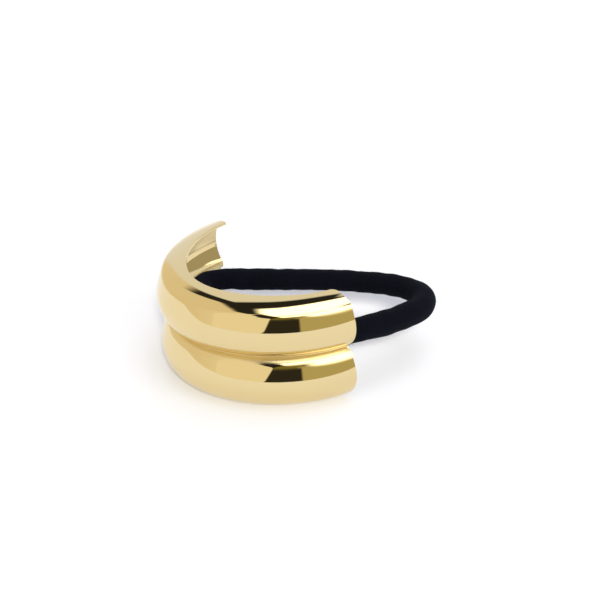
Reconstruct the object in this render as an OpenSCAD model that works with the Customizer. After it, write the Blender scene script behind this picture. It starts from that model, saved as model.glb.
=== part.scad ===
// Ponytail cuff: a half ring of polished plated brass with two domed ribs,
// standing on its lower rim, and a fabric-covered elastic loop held behind it.
// Millimetres. Origin on the floor under the middle of the cuff, front at -Y,
// open side at +Y, ring axis along Z.

/* [Cuff plan] */
// Radius of the rib crowns across the front
front_r = 20; // [18:0.5:22]
// Half of the angle that the front arc spans
front_half_deg = 22; // [16:1:28]
// Radius of the rib crowns along the flatter sides
side_r = 27; // [25:0.5:30]
// Depth from the front of the crowns to their open ends
depth = 24.3; // [22:0.1:26]
// Slope of the cut across each open end
end_slope_deg = 4; // [0:1:6]

/* [Cuff section] */
// Radius of the lower rib under its crown
lower_r = 5.95; // [5.8:0.05:6.1]
// Radius of the lower rib just above its crown
lower_shoulder_r = 4.8; // [4:0.1:6]
// Radius of the lower rib's nearly straight flank
lower_flank_r = 30; // [24:1:36]
// Radius with which the lower rib turns into the crease
lower_turn_r = 2.6; // [2.2:0.1:3.2]
// Radius of the upper rib between crease and crown
upper_r = 5.1; // [4.9:0.1:5.3]
// Radius of the upper rib just above its crown
upper_shoulder_r = 6.3; // [5.5:0.1:7]
// Radius of the upper rib's nearly straight flank
upper_flank_r = 40; // [30:1:50]
// Radius of the corner between flank and top
corner_r = 1.3; // [1:0.1:1.8]
// Radius of the gently domed top
top_r = 13.5; // [12:0.5:16]
// Sheet thickness
wall = 0.8; // [0.7:0.1:1]
// Sheet thickness at the two rims
rim_wall = 0.5; // [0.4:0.1:0.7]
// Width of the flat lip that the cuff stands on
foot_w = 0.5; // [0.3:0.1:0.8]

/* [Keepers] */
// Angle of each keeper from the front, about the side arc's centre
keeper_deg = 36; // [32:1:42]
// Length of a keeper along the elastic
keeper_len = 2.6; // [2:0.1:4]
// Wall of a keeper
keeper_wall = 0.7; // [0.5:0.1:0.8]
// Gap between a keeper and the elastic
keeper_gap = 0.3; // [0.2:0.1:0.4]

/* [Elastic] */
// Diameter of the covered elastic
elastic_d = 4.3; // [4:0.1:4.4]
// Distance from the inner ridge to the middle of the elastic
elastic_off = 2.4; // [2.4:0.1:2.8]

/* [Hidden] */

front_y = -depth / 2;
front_c = [0, front_y + front_r];
side_c = front_c + (front_r - side_r) * [sin(front_half_deg), -cos(front_half_deg)];

// Angles of the outward normal, from level: where the lower rib's sheet gets
// its full thickness, where shoulders, flanks and top end, and at the crease
full_deg = -40;
shoulder_deg = 17;
lower_flank_deg = 22.2;
upper_flank_deg = 20.5;
top_deg = 63.5;
rim_deg = 82.6;
crease_low_deg = 70;
crease_high_deg = -62;

// The section is walked upwards in arcs, each [radius, angle of the normal at
// its start, the same at its end, thickness at its start, the same at its end]
lower_runs = [
    [lower_r, -90, full_deg, rim_wall, wall],
    [lower_r, full_deg, 0, wall, wall],
    [lower_shoulder_r, 0, shoulder_deg, wall, wall],
    [lower_flank_r, shoulder_deg, lower_flank_deg, wall, wall],
    [lower_turn_r, lower_flank_deg, crease_low_deg, wall, wall]
];
upper_runs = [
    [upper_r, crease_high_deg, 0, wall, wall],
    [upper_shoulder_r, 0, shoulder_deg, wall, wall],
    [upper_flank_r, shoulder_deg, upper_flank_deg, wall, wall],
    [corner_r, upper_flank_deg, top_deg, wall, wall],
    [top_r, top_deg, rim_deg, wall, rim_wall]
];
// The most that the normal turns between two points of the section
arc_step_deg = 7;
ridge_steps = 12;

// Margin by which cutting shapes pass the solid
spare = 5;
// A side arc is swept to this angle from the front, past the cut
side_sweep_deg = 92;
// Polar angle of the front of the ring
front_polar = 270;
// Angle by which the front arc laps each side arc, to join them
lap_deg = 0.05;

elastic_z = 11.6;
elastic_sides = 10;
steps_per_point = 2;

// Middle line of the elastic, once round: out of the right end of the cuff,
// through the free loop, into the left keeper and along the ridge to the start
elastic_route = [
    [18.3, 12, 11.6], [18.5, 15, 11.6], [19, 18.3, 11.6], [19.6, 21.8, 11.5],
    [19.9, 25.3, 11.5], [19.9, 28.5, 11.5], [19.2, 31.5, 11.4], [17.5, 33.8, 11.4],
    [15, 34.9, 11.4], [12.2, 34.9, 11.3], [9.4, 34, 11.3], [6.4, 32, 11.3],
    [3.2, 29.3, 11.3], [0, 26.1, 11.4], [-3.4, 22.4, 11.4], [-6.4, 18.8, 11.4],
    [-9.1, 15.4, 11.5], [-11.5, 12.5, 11.5], [-13.6, 9.9, 11.6], [-15.2, 7.3, 11.6],
    [-15.8, 4.6, 11.6], [-14.5, 2.1, 11.6], [-12.8, 0, 11.6], [-10.3, -2.3, 11.6],
    [-7.9, -3.9, 11.6], [-5.3, -5.2, 11.6], [-2.7, -6, 11.6], [0, -6.2, 11.6],
    [2.7, -6, 11.6], [5.3, -5.2, 11.6], [7.9, -3.9, 11.6], [10.3, -2.3, 11.6],
    [12.8, 0, 11.6], [14.6, 2.3, 11.6], [16, 4.5, 11.6], [17, 6.8, 11.6],
    [17.8, 9.3, 11.6]
];

// The section's points are [distance outwards from the upper crown, height]
function way_out(angle) = [cos(angle), sin(angle)];
function leap(run, to) = run[0] * (way_out(to) - way_out(run[1]));
function rise_of(runs, count) =
    count == 0 ? [0, 0] : rise_of(runs, count - 1) + leap(runs[count - 1], runs[count - 1][2]);
// Points [place, outward normal, thickness] along the runs, from a start
function walked(start, runs) = [
    for (k = [0 : len(runs) - 1])
        let (run = runs[k], steps = ceil((run[2] - run[1]) / arc_step_deg), base = start + rise_of(runs, k))
        for (i = [k == 0 ? 0 : 1 : steps])
            let (share = i / steps, angle = run[1] + share * (run[2] - run[1]))
            [base + leap(run, angle), way_out(angle), run[3] + share * (run[4] - run[3])]
];
function reversed(list) = [for (i = [len(list) - 1 : -1 : 0]) list[i]];
function outside(half) = [for (p = half) p[0]];
function inside(half) = [for (p = half) p[0] - p[2] * p[1]];

crease = [upper_r * (cos(crease_high_deg) - 1), rise_of(lower_runs, len(lower_runs))[1]];
ridge_r = side_r + crease[0] - wall;
height = crease[1] + rise_of(upper_runs, len(upper_runs))[1];
lower_half = walked(crease - rise_of(lower_runs, len(lower_runs)), lower_runs);
upper_half = walked(crease, upper_runs);
// The ridge rounds the crease on the inside, one sheet thickness from it
ridge_arc = [
    for (i = [1 : ridge_steps - 1])
        crease - wall * way_out(crease_low_deg + (crease_high_deg - crease_low_deg) * i / ridge_steps)
];
foot_end = lower_half[0][0][0] - foot_w;

section = concat(
    [[foot_end, rim_wall], [foot_end, 0]],
    outside(lower_half),
    [for (i = [1 : len(upper_half) - 1]) upper_half[i][0]],
    reversed(inside(upper_half)),
    reversed(ridge_arc),
    [for (i = [len(lower_half) - 1 : -1 : 1]) inside(lower_half)[i]]
);

// A smooth curve through the route's points, which closes on itself
function route_point(i) = elastic_route[(i + len(elastic_route)) % len(elastic_route)];
function smooth(i, t) =
    let (a = route_point(i - 1), b = route_point(i), c = route_point(i + 1), d = route_point(i + 2))
    0.5 * (2 * b + (c - a) * t + (2 * a - 5 * b + 4 * c - d) * t * t + (3 * b - a - 3 * c + d) * t * t * t);

elastic_line = [
    for (i = [0 : len(elastic_route) - 1], k = [0 : steps_per_point - 1]) smooth(i, k / steps_per_point)
];

// One ring of the tube, square to the line between its neighbours
function tube_ring(line, i) =
    let (
        n = len(line),
        ahead = line[(i + 1) % n] - line[(i + n - 1) % n],
        side = cross(ahead, [0, 0, 1]) / norm(cross(ahead, [0, 0, 1])),
        up = cross(side, ahead) / norm(cross(side, ahead))
    )
    [
        for (k = [0 : elastic_sides - 1])
            let (a = 360 * k / elastic_sides)
            line[i] + elastic_d / 2 * (cos(a) * side + sin(a) * up)
    ];

module swept_section(radius, centre, from_deg, to_deg) {
    translate([centre[0], centre[1], 0])
        rotate([0, 0, from_deg])
            rotate_extrude(angle = to_deg - from_deg, $fn = 180)
                translate([radius, 0]) polygon(section);
}

// Everything in front of the two sloping end cuts
module end_trim() {
    reach = side_r + spare;
    cut_y = depth / 2;
    crown_x = side_c[0] + sqrt(side_r * side_r - (cut_y - side_c[1]) * (cut_y - side_c[1]));
    rise = tan(end_slope_deg);
    translate([0, 0, -spare])
        linear_extrude(height + 2 * spare)
            polygon([
                [-reach, front_y - spare], [reach, front_y - spare],
                [reach, cut_y + (reach - crown_x) * rise],
                [0, cut_y - crown_x * rise],
                [-reach, cut_y + (reach - crown_x) * rise]
            ]);
}

// A short tube round the elastic, soldered to the ridge, on the right side
module keeper() {
    bore_r = elastic_d / 2 + keeper_gap;
    line_r = ridge_r - elastic_off;
    sweep = keeper_len / line_r * 180 / PI;
    translate([side_c[0], side_c[1], elastic_z])
        rotate([0, 0, front_polar + keeper_deg - sweep / 2])
            rotate_extrude(angle = sweep, $fn = 180)
                translate([line_r, 0])
                    difference() {
                        circle(r = bore_r + keeper_wall, $fn = 48);
                        circle(r = bore_r, $fn = 48);
                    }
}

module cuff() color("gold") {
    intersection() {
        union() {
            swept_section(
                front_r, front_c, front_polar - front_half_deg - lap_deg, front_polar + front_half_deg + lap_deg
            );
            swept_section(side_r, side_c, front_polar + front_half_deg, front_polar + side_sweep_deg);
            mirror([1, 0, 0])
                swept_section(side_r, side_c, front_polar + front_half_deg, front_polar + side_sweep_deg);
        }
        end_trim();
    }
    keeper();
    mirror([1, 0, 0]) keeper();
}

module elastic() color("black") {
    n = len(elastic_line);
    polyhedron(
        points = [for (i = [0 : n - 1]) each tube_ring(elastic_line, i)],
        faces = [
            for (i = [0 : n - 1], k = [0 : elastic_sides - 1])
                let (j = (i + 1) % n, m = (k + 1) % elastic_sides)
                [
                    i * elastic_sides + k, i * elastic_sides + m,
                    j * elastic_sides + m, j * elastic_sides + k
                ]
        ]
    );
}

cuff();
elastic();
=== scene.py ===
"""Looks of the hair tie: a gold-plated ponytail cuff with a black covered elastic, in a white studio."""
import math
import random

import bpy
from mathutils import Matrix, Vector


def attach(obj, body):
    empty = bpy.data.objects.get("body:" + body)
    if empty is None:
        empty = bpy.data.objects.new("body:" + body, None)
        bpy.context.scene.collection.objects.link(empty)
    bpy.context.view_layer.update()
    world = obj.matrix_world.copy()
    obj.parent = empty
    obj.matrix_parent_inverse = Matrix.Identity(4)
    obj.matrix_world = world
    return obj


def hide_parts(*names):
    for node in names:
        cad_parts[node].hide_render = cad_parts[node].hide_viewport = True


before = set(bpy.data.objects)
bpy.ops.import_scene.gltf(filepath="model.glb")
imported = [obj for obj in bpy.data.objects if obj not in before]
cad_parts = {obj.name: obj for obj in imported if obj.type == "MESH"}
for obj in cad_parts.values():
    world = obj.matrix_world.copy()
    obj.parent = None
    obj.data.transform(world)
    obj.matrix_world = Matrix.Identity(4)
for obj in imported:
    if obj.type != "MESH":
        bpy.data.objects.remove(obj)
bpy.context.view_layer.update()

bl_info = {
    "name": "Ponytail cuff",
    "version": (1, 0, 0),
    "blender": (4, 5, 0),
    "location": "View3D > Sidebar > Hair tie",
    "description": "Builds a ponytail cuff with its elastic and a white studio",
    "category": "Object",
}

MM = 0.001


# Small helpers

def linear(code, brightness=1):
    """The linear colour of an sRGB hex code, times a brightness, with alpha."""
    out = []
    for i in (1, 3, 5):
        part = int(code[i:i + 2], 16) / 255
        part = part / 12.92 if part <= 0.04045 else ((part + 0.055) / 1.055) ** 2.4
        out.append(brightness * part)
    return (*out, 1.0)


def add_node(tree, kind, values=None, **settings):
    """Adds a node. values gives its inputs, by name or number: a constant, another node's
    output, or another node, which stands for its first output."""
    node = tree.nodes.new(kind)
    for name, value in settings.items():
        setattr(node, name, value)
    for key, value in (values or {}).items():
        if isinstance(value, bpy.types.Node):
            value = value.outputs[0]
        socket = node.inputs[key]
        if isinstance(value, bpy.types.NodeSocket):
            tree.links.new(value, socket)
        else:
            socket.default_value = value
    return node


def laid_over(tree, below, colour, *masks):
    """One colour laid over another, where all the masks are 1."""
    share = masks[0]
    for mask in masks[1:]:
        share = add_node(tree, "ShaderNodeMath", {0: share, 1: mask}, operation="MULTIPLY")
    values = {"Factor": share, "A": below, "B": colour}
    return add_node(tree, "ShaderNodeMix", values, data_type="RGBA").outputs["Result"]


def direction(turn, rise):
    """The unit vector at a turn from +Y towards +X and a rise over the horizon."""
    return Vector((math.sin(turn) * math.cos(rise), math.cos(turn) * math.cos(rise), math.sin(rise)))


def deselect():
    """Leaves edit mode and selects nothing."""
    if bpy.context.object and bpy.context.object.mode != "OBJECT":
        bpy.ops.object.mode_set(mode="OBJECT")
    bpy.ops.object.select_all(action="DESELECT")


def make_active(obj):
    """Selects one object alone."""
    deselect()
    obj.select_set(True)
    bpy.context.view_layer.objects.active = obj


def apply_modifiers(obj):
    """Applies all of an object's modifiers, in order."""
    make_active(obj)
    for modifier in list(obj.modifiers):
        bpy.ops.object.modifier_apply(modifier=modifier.name)


def mesh_object(name, points, edges=(), faces=()):
    """A new object at the origin, with a mesh made of points, edges and faces."""
    mesh = bpy.data.meshes.new(name)
    mesh.from_pydata([tuple(p) for p in points], list(edges), list(faces))
    obj = bpy.data.objects.new(name, mesh)
    bpy.context.collection.objects.link(obj)
    return obj


# Settings

def length(name, text, default):
    """A length, given in millimetres and kept in metres."""
    return bpy.props.FloatProperty(
        name=name, description=text, default=default * MM, unit="LENGTH", precision=5,
    )


def angle(name, text, default):
    """An angle, given in degrees and kept in radians."""
    return bpy.props.FloatProperty(
        name=name, description=text, default=math.radians(default), subtype="ANGLE",
    )


def count(name, text, default):
    """A whole number."""
    return bpy.props.IntProperty(name=name, description=text, default=default)


def fraction(name, text, default):
    """A share from 0 to 1."""
    return bpy.props.FloatProperty(
        name=name, description=text, default=default, min=0, max=1, subtype="FACTOR",
    )


def strength(name, text, default):
    """A brightness or a strength, which may be more than 1."""
    return bpy.props.FloatProperty(name=name, description=text, default=default, min=0)


def hex_colour(name, text, code):
    """A colour, given as a hex code and kept linear."""
    return bpy.props.FloatVectorProperty(
        name=name, description=text, default=linear(code)[:3], subtype="COLOR",
    )


class CuffSettings(bpy.types.PropertyGroup):
    """Sizes of the cuff and the look of its plating."""
    front_radius: length("Front radius", "Radius of the crowns across the front", 20)
    front_half_angle: angle("Front half angle", "Half of the angle of the front arc", 22)
    side_radius: length("Side radius", "Radius of the crowns along the sides", 27)
    depth: length("Depth", "Depth from the front to the open ends", 24.3)
    end_slope: angle("End slope", "Slope of the cut across the open ends", 4)
    lower: length("Lower rib radius", "Radius of the lower rib under its crown", 5.95)
    lower_shoulder: length("Lower shoulder radius", "Radius just above the lower crown", 4.8)
    lower_flank: length("Lower flank radius", "Radius of the nearly straight lower flank", 30)
    lower_turn: length("Lower turn radius", "Radius with which the lower rib turns into the crease", 2.6)
    upper: length("Upper rib radius", "Radius of the upper rib under its crown", 5.1)
    upper_shoulder: length("Upper shoulder radius", "Radius just above the upper crown", 6.3)
    upper_flank: length("Upper flank radius", "Radius of the nearly straight upper flank", 40)
    corner: length("Corner radius", "Radius between upper flank and top", 1.3)
    top: length("Top radius", "Radius of the gently domed top", 13.5)
    full_sheet: angle("Full sheet", "Normal where the lower rib's sheet gets its full thickness", -40)
    shoulder_end: angle("Shoulders' end", "Normal where the shoulders turn into the flanks", 17)
    lower_flank_end: angle("Lower flank's end", "Normal where the lower flank ends", 22.2)
    upper_flank_end: angle("Upper flank's end", "Normal where the upper flank ends", 20.5)
    top_start: angle("Top's start", "Normal where the corner turns into the top", 63.5)
    rim_end: angle("Rim", "Normal at the upper rim", 82.6)
    crease_low: angle("Crease, lower side", "Normal of the lower rib at the crease", 70)
    crease_high: angle("Crease, upper side", "Normal of the upper rib at the crease", -62)
    crease_fillet: length("Crease fillet", "Radius at the bottom of the crease", 0.12)
    crease_height: length("Over the crease", "A height between the crease and the upper crown", 13)
    crease_depth: length("Crease depth", "Depth of the crease below the crowns", 2.71)
    wall: length("Sheet", "Thickness of the sheet", 0.8)
    rim_wall: length("Rim sheet", "Thickness of the sheet at the rims", 0.5)
    foot: length("Foot", "Width of the flat lip under the cuff", 0.5)
    rim_round: length("Rim rounding", "Rounding of the rims' edges", 0.13)
    end_round: length("End rounding", "Rounding of the cut edges", 0.14)
    right_corner: length("Right corner", "Rounding of the right end's upper corner", 1.5)
    left_corner: length("Left corner", "Rounding of the left end's upper corner", 0.3)
    corner_height: length("Corner height", "Only points over this are eased at the corners", 18)
    corner_reach: length("Corner reach", "How far from the cut points are eased", 8)
    rim_pull: length("Rim pull", "How far the upper rim falls back at the right end", 0.45)
    pull_reach: length("Pull reach", "How far from the right end it does so", 12)
    pull_width: length("Pull width", "How wide a strip along the rim falls back", 2.5)
    keeper_angle: angle("Keeper angle", "Place of a keeper round the side arc", 36)
    keeper_length: length("Keeper length", "Length of a keeper", 2.6)
    keeper_wall: length("Keeper wall", "Wall of a keeper", 0.7)
    keeper_gap: length("Keeper gap", "Gap between keeper and elastic", 0.3)
    elastic: length("Elastic", "Diameter of the elastic", 4.3)
    elastic_off: length("Elastic offset", "From the ridge to the middle of the elastic", 2.4)
    elastic_height: length("Elastic height", "Height of the elastic in the cuff", 11.6)
    grain: length("Grain", "Longest step along the section", 0.28)
    arc_step: angle("Arc step", "The most that the normal turns in a step along the section", 3)
    weld: length("Weld", "Points nearer than this are merged", 0.004)
    rim_steps: count("Rim steps", "Steps round an edge of a rim", 4)
    edge_steps: count("Edge steps", "Steps round a cut edge", 3)
    front_steps: count("Front steps", "Steps of half the front arc", 26)
    side_steps: count("Side steps", "Steps of a side arc", 90)
    side_sweep: angle("Side sweep", "Angle of a side arc before the cut", 70)
    keeper_sides: count("Keeper sides", "Sides of a keeper's tube", 64)
    smooth: angle("Smooth angle", "Edges that turn less than this are shaded smooth", 60)
    gold_tint: hex_colour("Gold tint", "Reflectance of the plating head on", "#e2ce9b")
    gold_roughness: fraction("Gold roughness", "Roughness of the polish", 0.03)
    crease_roughness: fraction("Crease roughness", "Roughness at the bottom of the crease", 0.3)
    crease_rise: length("Crease rise", "Height of the crease over the floor", 11.4)
    crease_dull: length("Crease dullness", "Distance from the crease at which the full polish starts", 1.3)
    crease_full: length("Dull middle", "Distance from the crease up to which it is fully dull", 0.455)
    wave_size: length("Wave size", "Size of the plating's faint waves", 1.6)
    wave_height: length("Wave height", "Height of those waves", 0.0005)


class ElasticSettings(bpy.types.PropertyGroup):
    """Sizes of the elastic and the look of its cover."""
    diameter: length("Diameter", "Diameter of the covered elastic", 4.3)
    step: length("Step", "Distance between two rings of the tube", 0.25)
    sides: count("Sides", "Sides of the tube", 48)
    lump: length("Lumps", "Usual height of the cover's soft lumps", 0.05)
    lump_waves: count("Lump waves", "Number of random waves that make up the lumps", 14)
    braid_pitch: length("Braid pitch", "Pitch of the knitted relief", 0.62)
    braid_slant: fraction("Braid slant", "Slant of the knitted ribs", 1)
    braid_depth: length("Braid depth", "Depth of the knitted relief", 0.05)
    grain_pitch: length("Grain pitch", "Size of the finest threads", 0.25)
    grain_share: strength("Grain share", "How much the finest threads stand out beside the ribs", 1.5)
    cloud_pitch: length("Cloud pitch", "Size of soft differences of tone", 5)
    hairs: count("Fibres", "Number of loose fibres", 4200)
    hair_length: length("Fibre length", "Usual length of a loose fibre", 0.6)
    hair_width: length("Fibre width", "Thickness of a loose fibre", 0.022)
    hair_root: length("Fibre root", "How deep in the cover a loose fibre starts", 0.06)
    cover_dark: hex_colour("Dark tone", "Darker tone of the cover", "#050609")
    cover_light: hex_colour("Light tone", "Lighter tone of the cover", "#0a0c15")
    cover_sheen: fraction("Sheen", "Weight of the fibres' sheen", 0.03)
    sheen_tint: hex_colour("Sheen tint", "Colour of the fibres' sheen", "#7c88b0")
    seed: count("Seed", "Seed of the lumps and fibres", 7)


class StageSettings(bpy.types.PropertyGroup):
    """The camera, the floor and the studio's lights."""
    lens: bpy.props.FloatProperty(
        name="Lens", description="Focal length", default=71.63, unit="CAMERA",
    )
    sensor: bpy.props.FloatProperty(
        name="Sensor", description="Width of the camera's sensor", default=36, unit="CAMERA",
    )
    camera_near: length("Near limit", "Nearest distance that the camera shows", 10)
    camera_place: bpy.props.FloatVectorProperty(
        name="Camera place", description="Where the camera stands",
        default=Vector((172.594, -100.111, 122.366)) * MM, subtype="TRANSLATION", precision=5,
    )
    camera_turn: bpy.props.FloatVectorProperty(
        name="Camera turn", description="How the camera is turned",
        default=[math.radians(a) for a in (61.664, 2.138, 54.764)], subtype="EULER",
    )
    floor_size: length("Floor size", "Side of the square floor", 8000)
    floor_drop: length("Floor drop", "How far the floor lies under the cuff's foot", 0.02)
    floor_white: fraction("Floor white", "Reflectance of the floor", 0.83)
    panel_white: strength("Soft light", "Brightness of the white panel", 2.9)
    panel_turn: angle("Panel turn", "Where the white panel hangs, from +Y towards +X", 36)
    panel_rise: angle("Panel rise", "Height of the direction that the panel is centred on", 18)
    fill_tint: hex_colour("Fill tint", "Share of the sky that lights the floor", "#c2c6d7")
    thrown_share: fraction("Thrown light", "Share of the fill that the gold throws on the floor", 0.1)
    key_tint: hex_colour("Key tint", "Colour of the key light", "#fffdf6")
    key_power: strength("Key light", "Strength of the key light", 3.2)
    key_turn: angle("Key turn", "Where the key light stands, from +Y towards +X", 118)
    key_rise: angle("Key rise", "Height of the key light", 33)
    key_size: angle("Key size", "Width of the key light as seen from the object", 10)


# The cuff's shape

def way_out(turned):
    """The outward normal in the section, from its angle above level."""
    return Vector((math.cos(turned), math.sin(turned)))


def crease_ends(s):
    """Normals' angles where a small fillet touches the two arcs that meet in the crease."""
    first = -s.lower_turn * way_out(s.crease_low)
    second = -s.upper * way_out(s.crease_high)
    a, b = s.lower_turn + s.crease_fillet, s.upper + s.crease_fillet
    gap = second - first
    along = (a * a - b * b + gap.length_squared) / (2 * gap.length)
    aside = math.sqrt(a * a - along * along)
    unit = gap.normalized()
    middle = first + along * unit + aside * Vector((unit.y, -unit.x))
    to_low, to_high = middle - first, middle - second
    return math.atan2(to_low.y, to_low.x), math.atan2(to_high.y, to_high.x)


def section_walk(s):
    """The sheet's outer side from the foot to the upper rim, as rows of place, outward normal
    and thickness. A place is its distance outwards from the upper crown, and its height."""
    down = -math.pi / 2
    low, high = crease_ends(s)
    # Arcs from the foot up: radius, the normal's angle at both ends, and the thickness at both
    runs = [
        (s.lower, down, s.full_sheet, s.rim_wall, s.wall),
        (s.lower, s.full_sheet, 0, s.wall, s.wall),
        (s.lower_shoulder, 0, s.shoulder_end, s.wall, s.wall),
        (s.lower_flank, s.shoulder_end, s.lower_flank_end, s.wall, s.wall),
        (s.lower_turn, s.lower_flank_end, low, s.wall, s.wall),
        (-s.crease_fillet, low, high, s.wall, s.wall),
        (s.upper, high, 0, s.wall, s.wall),
        (s.upper_shoulder, 0, s.shoulder_end, s.wall, s.wall),
        (s.upper_flank, s.shoulder_end, s.upper_flank_end, s.wall, s.wall),
        (s.corner, s.upper_flank_end, s.top_start, s.wall, s.wall),
        (s.top, s.top_start, s.rim_end, s.wall, s.rim_wall),
    ]
    walk = [(Vector((0, 0)), way_out(down), s.rim_wall)]
    for radius, start, end, thick_start, thick_end in runs:
        base = walk[-1][0]
        turned = end - start
        steps = math.ceil(max(abs(turned) / s.arc_step, abs(radius * turned) / s.grain))
        for i in range(1, steps + 1):
            part = i / steps
            normal = way_out(start + part * turned)
            place = base + radius * (normal - way_out(start))
            walk.append((place, normal, thick_start + part * (thick_end - thick_start)))
    crown = max(place.x for place, _normal, _thick in walk if place.y > s.crease_height)
    return [(Vector((place.x - crown, place.y)), normal, thick) for place, normal, thick in walk]


def blunt_edge(start, end, corner, steps):
    """Points between start and end round a flat edge with rounded corners, to the left of the way."""
    across = (start - end).normalized()
    out = Matrix.Rotation(math.pi / 2, 2) @ across
    points = []
    for middle, first in ((start - corner * across, 0), (end + corner * across, math.pi / 2)):
        for i in range(steps + 1):
            turned = first + math.pi / 2 * i / steps
            points.append(middle + corner * (math.cos(turned) * across + math.sin(turned) * out))
    return points[1:-1]


def section_loop(s):
    """The closed outline of the sheet, with blunt rims."""
    walk = section_walk(s)
    foot = walk[0][0] - Vector((s.foot - s.rim_round, 0))
    foot_top = foot + Vector((0, s.rim_wall))
    outer = [foot] + [place for place, _normal, _thick in walk]
    inner = [place - thick * normal for place, normal, thick in reversed(walk)] + [foot_top]
    upper_rim = blunt_edge(outer[-1], inner[0], s.rim_round, s.rim_steps)
    lower_rim = blunt_edge(foot_top, foot, s.rim_round, s.rim_steps)
    return outer + upper_rim + inner + lower_rim


def front_centre(s):
    """The middle of the front arc, in the plan."""
    return Vector((0, s.front_radius - s.depth / 2, 0))


def side_centre(s):
    """The middle of the right side arc, which carries on from the front arc without a kink."""
    bend = s.front_half_angle
    return front_centre(s) + (s.front_radius - s.side_radius) * Vector((math.sin(bend), -math.cos(bend), 0))


def cut_place(s):
    """Where the cut across the right end crosses the line of the crowns."""
    centre = side_centre(s)
    cut_y = s.depth / 2
    return Vector((centre.x + math.sqrt(s.side_radius ** 2 - (cut_y - centre.y) ** 2), cut_y, 0))


def cut_facing(s):
    """The way that the cut across the right end faces."""
    return Vector((-math.sin(s.end_slope), math.cos(s.end_slope), 0))


def cuff_half(s):
    """The right half of the cuff: its section spun round the front and then round the side, and cut."""
    points = [Vector((0, -s.depth / 2 - place.x, place.y)) for place in section_loop(s)]
    edges = [(i, (i + 1) % len(points)) for i in range(len(points))]
    half = mesh_object("cuff", points, edges)
    make_active(half)
    bpy.ops.object.mode_set(mode="EDIT")
    bpy.ops.mesh.select_all(action="SELECT")
    upright = (0, 0, 1)
    bpy.ops.mesh.spin(steps=s.front_steps, angle=-s.front_half_angle, center=front_centre(s), axis=upright)
    bpy.ops.mesh.spin(steps=s.side_steps, angle=-s.side_sweep, center=side_centre(s), axis=upright)
    bpy.ops.mesh.select_all(action="SELECT")
    bpy.ops.mesh.bisect(
        plane_co=cut_place(s), plane_no=cut_facing(s), use_fill=True, clear_outer=True, threshold=s.weld,
    )
    bpy.ops.mesh.select_all(action="SELECT")
    bpy.ops.mesh.remove_doubles(threshold=s.weld)
    bpy.ops.object.mode_set(mode="OBJECT")
    return half


def round_cut_edge(half, s):
    """Bevels the edge round the cut end, which is the face with the most corners."""
    make_active(half)
    cut = max(half.data.polygons, key=lambda face: len(face.vertices))
    for face in half.data.polygons:
        face.select = face.index == cut.index
    bpy.ops.object.mode_set(mode="EDIT")
    bpy.ops.mesh.select_mode(type="FACE")
    bpy.ops.mesh.region_to_loop()
    bpy.ops.mesh.bevel(offset=s.end_round, segments=s.edge_steps, affect="EDGES", clamp_overlap=False)
    bpy.ops.object.mode_set(mode="OBJECT")


def ease_corners(cuff, s):
    """Rounds the corners where the upper rim meets the cut ends, by drawing points back from the
    cut and a little inwards, and lets the rim fall back near the right end."""
    centre, cut, facing = side_centre(s), cut_place(s), cut_facing(s)
    high = []
    for vertex in cuff.data.vertices:
        # Both ends are measured as the right one, of which the left is the mirror image
        place = Vector((abs(vertex.co.x), vertex.co.y, 0))
        if vertex.co.z > s.corner_height and place.y > 0:
            out = (place - centre).length - s.side_radius
            behind = (cut - place).dot(facing)
            high.append((vertex, vertex.co.x > 0, out, behind))
    rim = min(out for _vertex, _right, out, _behind in high)
    for vertex, right, out, behind in high:
        if right and behind < s.pull_reach:
            near = 1 - max(behind, 0) / s.pull_reach
            edge = min(max(1 - (out - rim) / s.pull_width, 0), 1)
            spoke = (vertex.co.xy - centre.xy).normalized()
            vertex.co.xy += s.rim_pull * near * near * (3 - 2 * near) * edge * spoke
        radius = s.right_corner if right else s.left_corner
        inward = radius - (out - rim)
        if inward > 0 and behind < s.corner_reach:
            back = radius - math.sqrt(max(radius ** 2 - inward ** 2, 0))
            move = back * (1 - behind / s.corner_reach)
            vertex.co.x -= math.copysign(move * math.sin(s.end_slope), vertex.co.x)
            vertex.co.y -= move * math.cos(s.end_slope)


def keeper(s, way):
    """One short tube, soldered to the ridge, that holds the elastic. way is 1 on the right and
    -1 on the left."""
    reach = s.side_radius - s.crease_depth - s.wall - s.elastic_off
    cos, sin = math.cos(s.keeper_angle), math.sin(s.keeper_angle)
    place = side_centre(s) + reach * Vector((sin, -cos, 0))
    along = Vector((way * cos, sin, 0))
    deselect()
    bpy.ops.mesh.primitive_cylinder_add(
        vertices=s.keeper_sides, radius=s.elastic / 2 + s.keeper_gap + s.keeper_wall, depth=s.keeper_length,
        end_fill_type="NOTHING", location=(way * place.x, place.y, s.elastic_height),
        rotation=along.to_track_quat("Z", "Y").to_euler(),
    )
    tube = bpy.context.object
    tube.name = "keeper"
    wall = tube.modifiers.new("wall", "SOLIDIFY")
    wall.thickness = s.keeper_wall
    wall.offset = -1
    edge = tube.modifiers.new("edge", "BEVEL")
    edge.width = s.end_round
    edge.segments = s.edge_steps
    edge.limit_method = "ANGLE"
    apply_modifiers(tube)
    bpy.ops.object.transform_apply(location=True, rotation=True, scale=True)
    return tube


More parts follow.
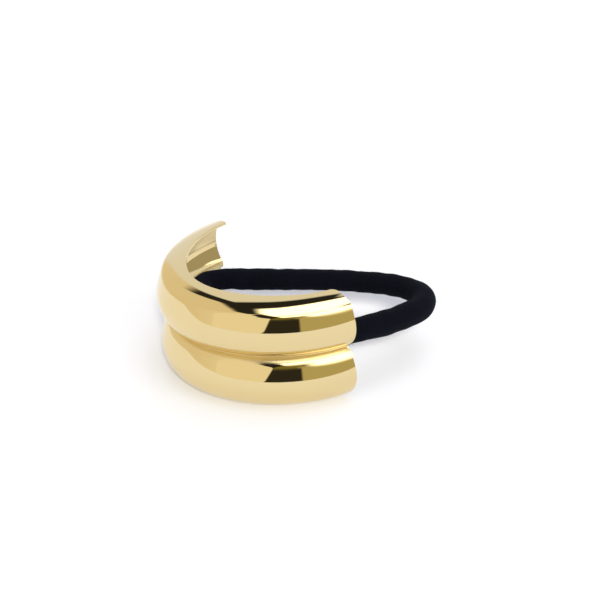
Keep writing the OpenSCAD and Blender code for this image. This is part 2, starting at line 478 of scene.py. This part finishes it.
def gold_plate(s):
    """Gold-plated brass, polished: a clean mirror with a faint waviness, duller in the crease."""
    material = bpy.data.materials.new("gold-plated polished brass")
    material.use_nodes = True
    tree = material.node_tree
    surface = tree.nodes["Principled BSDF"]
    surface.inputs["Base Color"].default_value = (*s.gold_tint, 1)
    surface.inputs["Metallic"].default_value = 1
    where = add_node(tree, "ShaderNodeTexCoord").outputs["Object"]
    wave = add_node(tree, "ShaderNodeTexNoise", {"Vector": where, "Scale": 1 / s.wave_size, "Detail": 2.0})
    relief = {"Height": wave.outputs["Fac"], "Strength": 1.0, "Distance": s.wave_height}
    bump = add_node(tree, "ShaderNodeBump", relief)
    tree.links.new(bump.outputs["Normal"], surface.inputs["Normal"])
    # The polish doesn't reach the bottom of the crease
    height = add_node(tree, "ShaderNodeSeparateXYZ", {0: where}).outputs["Z"]
    over = add_node(tree, "ShaderNodeMath", {0: height, 1: s.crease_rise}, operation="SUBTRACT")
    off = add_node(tree, "ShaderNodeMath", {0: over}, operation="ABSOLUTE")
    rough = add_node(
        tree, "ShaderNodeMapRange",
        {
            "Value": off, "From Min": s.crease_dull, "From Max": s.crease_full,
            "To Min": s.gold_roughness, "To Max": s.crease_roughness,
        },
        interpolation_type="SMOOTHSTEP", clamp=True,
    )
    tree.links.new(rough.outputs["Result"], surface.inputs["Roughness"])
    return material


# The elastic's shape

# Middle line of the elastic, once round: out of the right end of the cuff,
# through the free loop, into the left keeper and along the ridge, in millimetres
ELASTIC_ROUTE = [
    (18.3, 12, 11.6), (18.5, 15, 11.6), (19, 18.3, 11.6), (19.6, 21.8, 11.5), (19.9, 25.3, 11.5),
    (19.9, 28.5, 11.5), (19.2, 31.5, 11.4), (17.5, 33.8, 11.4), (15, 34.9, 11.4), (12.2, 34.9, 11.3),
    (9.4, 34, 11.3), (6.4, 32, 11.3), (3.2, 29.3, 11.3), (0, 26.1, 11.4), (-3.4, 22.4, 11.4),
    (-6.4, 18.8, 11.4), (-9.1, 15.4, 11.5), (-11.5, 12.5, 11.5), (-13.6, 9.9, 11.6), (-15.2, 7.3, 11.6),
    (-15.8, 4.6, 11.6), (-14.5, 2.1, 11.6), (-12.8, 0, 11.6), (-10.3, -2.3, 11.6), (-7.9, -3.9, 11.6),
    (-5.3, -5.2, 11.6), (-2.7, -6, 11.6), (0, -6.2, 11.6), (2.7, -6, 11.6), (5.3, -5.2, 11.6),
    (7.9, -3.9, 11.6), (10.3, -2.3, 11.6), (12.8, 0, 11.6), (14.6, 2.3, 11.6), (16, 4.5, 11.6),
    (17, 6.8, 11.6), (17.8, 9.3, 11.6),
]
# Steps between two points of the route, before its points are spaced evenly
ROUTE_STEPS = 20

# Where the elastic is fuller than usual: place along the route and added radius, in millimetres
FULLER = [(0, 0), (4, 0.05), (7, 0.2), (10, 0.33), (13.5, 0.22), (20, 0.28), (24, 0.25), (30, 0.05), (34, 0)]

# The fewest and most turns of a wave of lumps along the elastic and round it
LUMPS_ALONG = (2, 40)
LUMPS_ROUND = (0, 2)

# How loose fibres grow, as shares of their way out or of their length: the most that they
# lean along and round the elastic, their shortest and longest, the most that their outer
# halves bend along the elastic, how much those droop, and their width at the knee
FIBRE_LEAN = 1.6
FIBRE_SWAY = 0.9
FIBRE_REACH = (0.3, 1.5)
FIBRE_BEND = 0.7
FIBRE_DROOP = 0.35
FIBRE_TAPER = 0.8


def smooth_route(step):
    """Points of the closed middle line at even distances, and its length."""
    knots = [Vector(p) * MM for p in ELASTIC_ROUTE]
    dense = []
    for i, b in enumerate(knots):
        a, c, d = knots[i - 1], knots[(i + 1) % len(knots)], knots[(i + 2) % len(knots)]
        for k in range(ROUTE_STEPS):
            t = k / ROUTE_STEPS
            bend = (2 * a - 5 * b + 4 * c - d) * t ** 2 + (3 * b - a - 3 * c + d) * t ** 3
            dense.append(0.5 * (2 * b + (c - a) * t + bend))
    dense.append(dense[0])
    total = sum((q - p).length for p, q in zip(dense, dense[1:]))
    wanted = round(total / step)
    even, gone, k = [], 0.0, 0
    for i in range(wanted):
        target = total * i / wanted
        while gone + (dense[k + 1] - dense[k]).length < target:
            gone += (dense[k + 1] - dense[k]).length
            k += 1
        piece = dense[k + 1] - dense[k]
        even.append(dense[k] + piece * ((target - gone) / piece.length))
    return even, total


def lump_waves(draw, number):
    """Random waves that close both ways round the tube, as turns along, turns round and phase."""
    return [
        (draw.randint(*LUMPS_ALONG), draw.randint(*LUMPS_ROUND), draw.uniform(0, 2 * math.pi))
        for _ in range(number)
    ]


def lump_height(waves, along, around):
    """The waves' height at a place, both ways given as a share of once round."""
    turned = [2 * math.pi * (a * along + r * around) + phase for a, r, phase in waves]
    return sum(math.sin(t) for t in turned) / math.sqrt(len(waves))


def fuller(place):
    """The added radius at a place along the elastic."""
    for (start, low), (end, high) in zip(FULLER, FULLER[1:]):
        if place <= end * MM:
            return (low + (high - low) * (place / MM - start) / (end - start)) * MM
    return 0


def tube_frame(line, i):
    """The three directions at point i: to the side, up, and along the line."""
    ahead = (line[(i + 1) % len(line)] - line[i - 1]).normalized()
    side = ahead.cross(Vector((0, 0, 1))).normalized()
    return side, side.cross(ahead).normalized(), ahead


def elastic_tube(s, draw, line, total):
    """The covered elastic as a closed tube, with its own map of metres along and round it."""
    waves = lump_waves(draw, s.lump_waves)
    rings, sides = len(line), s.sides
    around = math.pi * s.diameter
    points = []
    for i in range(rings):
        side, up, _ahead = tube_frame(line, i)
        usual = s.diameter / 2 + fuller(i * total / rings)
        for k in range(sides):
            turned = 2 * math.pi * k / sides
            radius = usual + s.lump * lump_height(waves, i / rings, k / sides)
            points.append(line[i] + radius * (math.cos(turned) * side + math.sin(turned) * up))
    faces, places = [], []
    for i in range(rings):
        for k in range(sides):
            j, m = (i + 1) % rings, (k + 1) % sides
            faces.append((i * sides + k, i * sides + m, j * sides + m, j * sides + k))
            for a, b in ((i, k), (i, k + 1), (i + 1, k + 1), (i + 1, k)):
                places.append((a * total / rings, b * around / sides))
    tube = mesh_object("elastic", points, (), faces)
    layer = tube.data.uv_layers.new(name="tube")
    for loop, place in zip(layer.data, places):
        loop.uv = place
    tube.data.shade_smooth()
    return tube


def loose_fibres(s, draw, line):
    """Loose fibres that stand off the cover, as thin three-sided spikes with a bend."""
    points, faces = [], []
    for _ in range(s.hairs):
        i = draw.randrange(len(line))
        side, up, ahead = tube_frame(line, i)
        turned = draw.uniform(0, 2 * math.pi)
        out = math.cos(turned) * side + math.sin(turned) * up
        lean = out + draw.uniform(-FIBRE_LEAN, FIBRE_LEAN) * ahead
        lean = (lean + draw.uniform(-FIBRE_SWAY, FIBRE_SWAY) * out.cross(ahead)).normalized()
        half = s.hair_length * draw.uniform(*FIBRE_REACH) / 2
        root = line[i] + (s.diameter / 2 - s.hair_root) * out
        knee = root + half * lean
        bent = (lean + draw.uniform(-FIBRE_BEND, FIBRE_BEND) * ahead - FIBRE_DROOP * out).normalized()
        across = lean.cross(ahead).normalized()
        base = len(points)
        for place, width in ((root, s.hair_width), (knee, s.hair_width * FIBRE_TAPER)):
            for k in range(3):
                turn = Matrix.Rotation(2 * math.pi * k / 3, 3, lean)
                points.append(place + width / 2 * (turn @ across))
        points.append(knee + half * bent)
        for k in range(3):
            m = (k + 1) % 3
            faces.append((base + k, base + m, base + 3 + m, base + 3 + k))
            faces.append((base + 3 + k, base + 3 + m, base + 6))
    return mesh_object("elastic_fibres", points, (), faces)


def elastic_cover(s):
    """Black nylon cover, finely knitted: matt, nearly black, with a soft bluish sheen."""
    material = bpy.data.materials.new("black knitted nylon")
    material.use_nodes = True
    tree = material.node_tree
    surface = tree.nodes["Principled BSDF"]
    along = add_node(tree, "ShaderNodeUVMap", uv_map="tube").outputs["UV"]
    part = add_node(tree, "ShaderNodeSeparateXYZ", {0: along})
    # Two sets of ribs cross each other, and the finest threads lie over them
    ribs = []
    for way in (1, -1):
        slant = {0: part.outputs["Y"], 1: way * s.braid_slant, 2: part.outputs["X"]}
        slant = add_node(tree, "ShaderNodeMath", slant, operation="MULTIPLY_ADD")
        wave = {0: slant, 1: 2 * math.pi / s.braid_pitch}
        wave = add_node(tree, "ShaderNodeMath", wave, operation="MULTIPLY")
        ribs.append(add_node(tree, "ShaderNodeMath", {0: wave}, operation="SINE"))
    braid = add_node(tree, "ShaderNodeMath", dict(enumerate(ribs)), operation="MULTIPLY")
    grain = add_node(tree, "ShaderNodeTexNoise", {"Vector": along, "Scale": 1 / s.grain_pitch, "Detail": 4.0})
    relief = {0: grain.outputs["Fac"], 1: s.grain_share, 2: braid}
    relief = add_node(tree, "ShaderNodeMath", relief, operation="MULTIPLY_ADD")
    bump = add_node(tree, "ShaderNodeBump", {"Height": relief, "Strength": 0.8, "Distance": s.braid_depth})
    tree.links.new(bump.outputs["Normal"], surface.inputs["Normal"])
    cloud = add_node(tree, "ShaderNodeTexNoise", {"Vector": along, "Scale": 1 / s.cloud_pitch, "Detail": 2.0})
    tone = laid_over(tree, (*s.cover_dark, 1), (*s.cover_light, 1), cloud.outputs["Fac"])
    tree.links.new(tone, surface.inputs["Base Color"])
    surface.inputs["Roughness"].default_value = 0.95
    surface.inputs["Specular IOR Level"].default_value = 0.08
    surface.inputs["Sheen Weight"].default_value = s.cover_sheen
    surface.inputs["Sheen Roughness"].default_value = 0.5
    surface.inputs["Sheen Tint"].default_value = (*s.sheen_tint, 1)
    return material


# The studio

# Cosines of the angles from the panel's direction at which the dark gap and the white panel
# start, each with the end of its soft edge, and how much wider the gap is at the horizon
GAP_EDGE = (0, 0.05)
PANEL_EDGE = (0.12, 0.205)
GAP_WIDENING = 0.25


class Sky:
    """The studio that the gold reflects, painted by direction: a turn from +Y towards +X and a
    rise over the horizon, in degrees. Colours are laid over each other, each through masks."""

    def __init__(self, tree, first):
        self.tree = tree
        self.colour = first
        way = add_node(tree, "ShaderNodeTexCoord").outputs["Generated"]
        self.way = add_node(tree, "ShaderNodeVectorMath", {0: way}, operation="NORMALIZE")
        part = add_node(tree, "ShaderNodeSeparateXYZ", {0: self.way})
        self.up = part.outputs["Z"]
        turn = {0: part.outputs["X"], 1: part.outputs["Y"]}
        turn = add_node(tree, "ShaderNodeMath", turn, operation="ARCTAN2")
        self.turn = add_node(tree, "ShaderNodeMath", {0: turn}, operation="DEGREES")
        rise = add_node(tree, "ShaderNodeMath", {0: self.up}, operation="ARCSINE")
        self.rise = add_node(tree, "ShaderNodeMath", {0: rise}, operation="DEGREES")

    def lay(self, colour, *masks):
        """Lays a colour over the sky so far, where all the masks are 1."""
        self.colour = laid_over(self.tree, self.colour, colour, *masks)

    def edge(self, value, start, end):
        """A mask: 0 up to start and 1 from end on, smooth between; start may be the larger."""
        return add_node(
            self.tree, "ShaderNodeMapRange", {"Value": value, "From Min": start, "From Max": end},
            interpolation_type="SMOOTHSTEP", clamp=True,
        )

    def window(self, middle, half, soft):
        """A mask: 1 within half of a middle turn, with soft edges."""
        off = add_node(self.tree, "ShaderNodeMath", {0: self.turn, 1: middle}, operation="SUBTRACT")
        off = add_node(self.tree, "ShaderNodeMath", {0: off, 1: 180, 2: -180}, operation="WRAP")
        off = add_node(self.tree, "ShaderNodeMath", {0: off}, operation="ABSOLUTE")
        return self.edge(off, half + soft, half - soft)

    def height(self, rise, middle, slope, bend):
        """How high a direction is over a line, which at a turn of t from its middle is at
        rise + slope * t - bend * t * t."""
        away = add_node(self.tree, "ShaderNodeMath", {0: self.turn, 1: middle}, operation="SUBTRACT")
        tilt = add_node(self.tree, "ShaderNodeMath", {0: away, 1: -bend, 2: slope}, operation="MULTIPLY_ADD")
        line = add_node(self.tree, "ShaderNodeMath", {0: away, 1: tilt, 2: rise}, operation="MULTIPLY_ADD")
        return add_node(self.tree, "ShaderNodeMath", {0: self.rise, 1: line}, operation="SUBTRACT")

    def over(self, rise, middle=0, slope=0, bend=0, soft=1.5):
        """A mask: 1 over a line."""
        return self.edge(self.height(rise, middle, slope, bend), -soft, soft)

    def under(self, rise, middle=0, slope=0, bend=0, soft=1.5):
        """A mask: 1 under a line."""
        return self.edge(self.height(rise, middle, slope, bend), soft, -soft)


def paint_walls(sky, s):
    """The pale walls, the white panel overhead, and the dark gaps between them."""
    dark = linear("#2b2a28")
    # The near wall is greyer towards -X
    sky.lay(linear("#f4e8ce"), sky.window(middle=-118, half=62, soft=30))
    # The gap between wall and panel, which widens away from the zenith, and then the panel
    panel = {0: sky.way, 1: direction(s.panel_turn, s.panel_rise)}
    lean = add_node(sky.tree, "ShaderNodeVectorMath", panel, operation="DOT_PRODUCT").outputs["Value"]
    widening = {0: sky.up, 1: -GAP_WIDENING, 2: GAP_WIDENING}
    widening = add_node(sky.tree, "ShaderNodeMath", widening, operation="MULTIPLY_ADD")
    widened = add_node(sky.tree, "ShaderNodeMath", {0: lean, 1: widening}, operation="ADD")
    gap = sky.edge(widened, *GAP_EDGE)
    sky.lay(dark, gap)
    sky.lay(linear("#fffdf8", s.panel_white), sky.edge(lean, *PANEL_EDGE))
    # The panel's frame, a thin dark line that pales to brown towards +X
    frame_line = laid_over(sky.tree, dark, linear("#bfa876"), sky.window(middle=85, half=26, soft=6))
    sky.lay(
        frame_line, sky.window(middle=112, half=36, soft=4),
        sky.over(50, middle=100, bend=0.0096), sky.under(57, middle=100, bend=0.0096),
    )
    # The far side: a dark strip under the panel's edge, and the pale wall below it
    sky.lay(
        dark, sky.window(middle=-60, half=42, soft=8), gap,
        sky.under(71, middle=-57, slope=-0.132, bend=0.0063),
    )
    sky.lay(linear("#f6f7fb"), sky.window(middle=-36, half=43, soft=1.5), sky.under(58))
    # The upright gap between the far wall and the near one
    sky.lay(dark, sky.window(middle=-83.5, half=4.5, soft=1), sky.over(41, soft=5), sky.under(66, soft=4))


def paint_surroundings(sky, near_wall):
    """What stands round the table: the camera on its stand, and the room."""
    # The stand's far edge slants, with the near wall beside it, and haze over the stand
    slant = {0: sky.rise, 1: 0.62, 2: sky.turn}
    slant = add_node(sky.tree, "ShaderNodeMath", slant, operation="MULTIPLY_ADD")
    before, after = sky.edge(slant, 141.8, 140.2), sky.edge(slant, 140.2, 141.8)
    sky.lay(near_wall, after, sky.under(12, middle=133.5, slope=1.6))
    sky.lay(linear("#857c42"), before, sky.edge(sky.turn, 96, 110), sky.edge(sky.rise, 40, 15))
    # The room beyond the loop, and its higher part
    room = linear("#aea892", 1.1)
    sky.lay(room, sky.window(middle=31, half=27, soft=2.5), sky.under(47, soft=4))
    sky.lay(room, sky.window(middle=38, half=22, soft=6), sky.over(40, soft=4), sky.under(60, soft=4))
    # The room under the panel, higher towards the stand, and the dark foot of the stand
    under_panel = sky.under(9, middle=84, slope=0.14, soft=1.6)
    sky.lay(linear("#c6bb88"), sky.window(middle=82, half=32, soft=2), under_panel)
    sky.lay(linear("#33302a"), before, sky.edge(sky.turn, 109.8, 112.2), sky.edge(sky.rise, 13, 10))


def studio_sky(s):
    """A world with the painted studio, which lights matt things more softly than it shows in the gold."""
    world = bpy.data.worlds.new("studio")
    world.use_nodes = True
    tree = world.node_tree
    near_wall = linear("#fff7e3", 1.04)
    sky = Sky(tree, near_wall)
    paint_walls(sky, s)
    paint_surroundings(sky, near_wall)
    # What falls on matt things is a bluish share of it, and what the gold throws on them far less
    path = add_node(tree, "ShaderNodeLightPath")
    matt = {0: path.outputs["Diffuse Depth"], 1: 0.5}
    matt = add_node(tree, "ShaderNodeMath", matt, operation="GREATER_THAN")
    thrown = [s.thrown_share * c for c in s.fill_tint]
    tint = laid_over(tree, (1, 1, 1, 1), (*s.fill_tint, 1), matt)
    tint = laid_over(tree, tint, (*thrown, 1), matt, path.outputs["Is Glossy Ray"])
    light = add_node(tree, "ShaderNodeVectorMath", {0: sky.colour, 1: tint}, operation="MULTIPLY")
    tree.links.new(light.outputs["Vector"], tree.nodes["Background"].inputs["Color"])
    return world


def white_paper(s):
    """Matt white paper: it takes soft shadows and shows no reflection."""
    material = bpy.data.materials.new("matt white paper")
    material.use_nodes = True
    surface = material.node_tree.nodes["Principled BSDF"]
    surface.inputs["Base Color"].default_value = (s.floor_white, s.floor_white, s.floor_white, 1)
    surface.inputs["Roughness"].default_value = 1
    surface.inputs["Specular IOR Level"].default_value = 0
    return material


# Operators

class HAIRTIE_OT_camera(bpy.types.Operator):
    """Places the camera as in the photo"""
    bl_idname = "hairtie.camera"
    bl_label = "Place the camera"

    def execute(self, context):
        s = context.scene.hair_tie_stage
        data = bpy.data.cameras.new("camera")
        data.lens = s.lens
        data.sensor_width = s.sensor
        data.clip_start = s.camera_near
        camera = bpy.data.objects.new("camera", data)
        context.collection.objects.link(camera)
        camera.location = s.camera_place
        camera.rotation_euler = s.camera_turn
        context.scene.camera = camera
        return {"FINISHED"}


class HAIRTIE_OT_elastic(bpy.types.Operator):
    """Builds the covered elastic and its loose fibres"""
    bl_idname = "hairtie.elastic"
    bl_label = "Build the elastic"

    def execute(self, context):
        s = context.scene.hair_tie_elastic
        line, total = smooth_route(s.step)
        draw = random.Random(s.seed)
        tube = elastic_tube(s, draw, line, total)
        hair = loose_fibres(s, draw, line)
        cover = elastic_cover(s)
        for piece in (tube, hair):
            piece.data.materials.append(cover)
            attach(piece, "root")
        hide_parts("elastic")
        return {"FINISHED"}


class HAIRTIE_OT_cuff(bpy.types.Operator):
    """Builds the gold-plated cuff with its two keepers"""
    bl_idname = "hairtie.cuff"
    bl_label = "Build the cuff"

    def execute(self, context):
        s = context.scene.hair_tie_cuff
        cuff = cuff_half(s)
        round_cut_edge(cuff, s)
        mirror = cuff.modifiers.new("other half", "MIRROR")
        mirror.merge_threshold = s.weld
        apply_modifiers(cuff)
        bpy.ops.object.mode_set(mode="EDIT")
        bpy.ops.mesh.select_all(action="SELECT")
        bpy.ops.mesh.normals_make_consistent(inside=False)
        bpy.ops.object.mode_set(mode="OBJECT")
        ease_corners(cuff, s)
        tubes = [keeper(s, 1), keeper(s, -1)]
        make_active(cuff)
        for tube in tubes:
            tube.select_set(True)
        bpy.ops.object.join()
        bpy.ops.object.shade_smooth_by_angle(angle=s.smooth)
        cuff.data.materials.clear()
        cuff.data.materials.append(gold_plate(s))
        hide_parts("cuff")
        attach(cuff, "root")
        return {"FINISHED"}


class HAIRTIE_OT_stage(bpy.types.Operator):
    """Builds the white floor, the studio sky and the key light"""
    bl_idname = "hairtie.stage"
    bl_label = "Build the stage"

    def execute(self, context):
        s = context.scene.hair_tie_stage
        deselect()
        bpy.ops.mesh.primitive_plane_add(size=s.floor_size, location=(0, 0, -s.floor_drop))
        floor = context.object
        floor.name = "floor"
        floor.data.materials.append(white_paper(s))
        data = bpy.data.lights.new("key", "SUN")
        data.energy = s.key_power
        data.angle = s.key_size
        data.color = s.key_tint
        key = bpy.data.objects.new("key", data)
        key.rotation_euler = direction(s.key_turn, s.key_rise).to_track_quat("Z", "Y").to_euler()
        # The gold reflects the painted studio alone
        key.visible_glossy = False
        context.collection.objects.link(key)
        context.scene.world = studio_sky(s)
        view = context.scene.view_settings
        view.view_transform = "Standard"
        view.look = "None"
        return {"FINISHED"}


class HAIRTIE_PT_panel(bpy.types.Panel):
    """The hair tie's tools"""
    bl_idname = "HAIRTIE_PT_panel"
    bl_label = "Hair tie"
    bl_space_type = "VIEW_3D"
    bl_region_type = "UI"
    bl_category = "Hair tie"

    def draw(self, context):
        layout = self.layout
        for operator in OPERATORS:
            layout.operator(operator.bl_idname)
        for name in GROUPS:
            group = getattr(context.scene, name)
            box = layout.box()
            for key in group.__annotations__:
                box.prop(group, key)


OPERATORS = [HAIRTIE_OT_camera, HAIRTIE_OT_elastic, HAIRTIE_OT_cuff, HAIRTIE_OT_stage]
GROUPS = {
    "hair_tie_cuff": CuffSettings,
    "hair_tie_elastic": ElasticSettings,
    "hair_tie_stage": StageSettings,
}


def register():
    for item in [*GROUPS.values(), *OPERATORS, HAIRTIE_PT_panel]:
        bpy.utils.register_class(item)
    for name, group in GROUPS.items():
        setattr(bpy.types.Scene, name, bpy.props.PointerProperty(type=group))


def unregister():
    for name in GROUPS:
        delattr(bpy.types.Scene, name)
    for item in [HAIRTIE_PT_panel, *OPERATORS, *reversed(list(GROUPS.values()))]:
        bpy.utils.unregister_class(item)


def main():
    register()
    bpy.ops.hairtie.camera()
    bpy.ops.hairtie.elastic()
    bpy.ops.hairtie.cuff()
    bpy.ops.hairtie.stage()


if __name__ == "__main__":
    main()
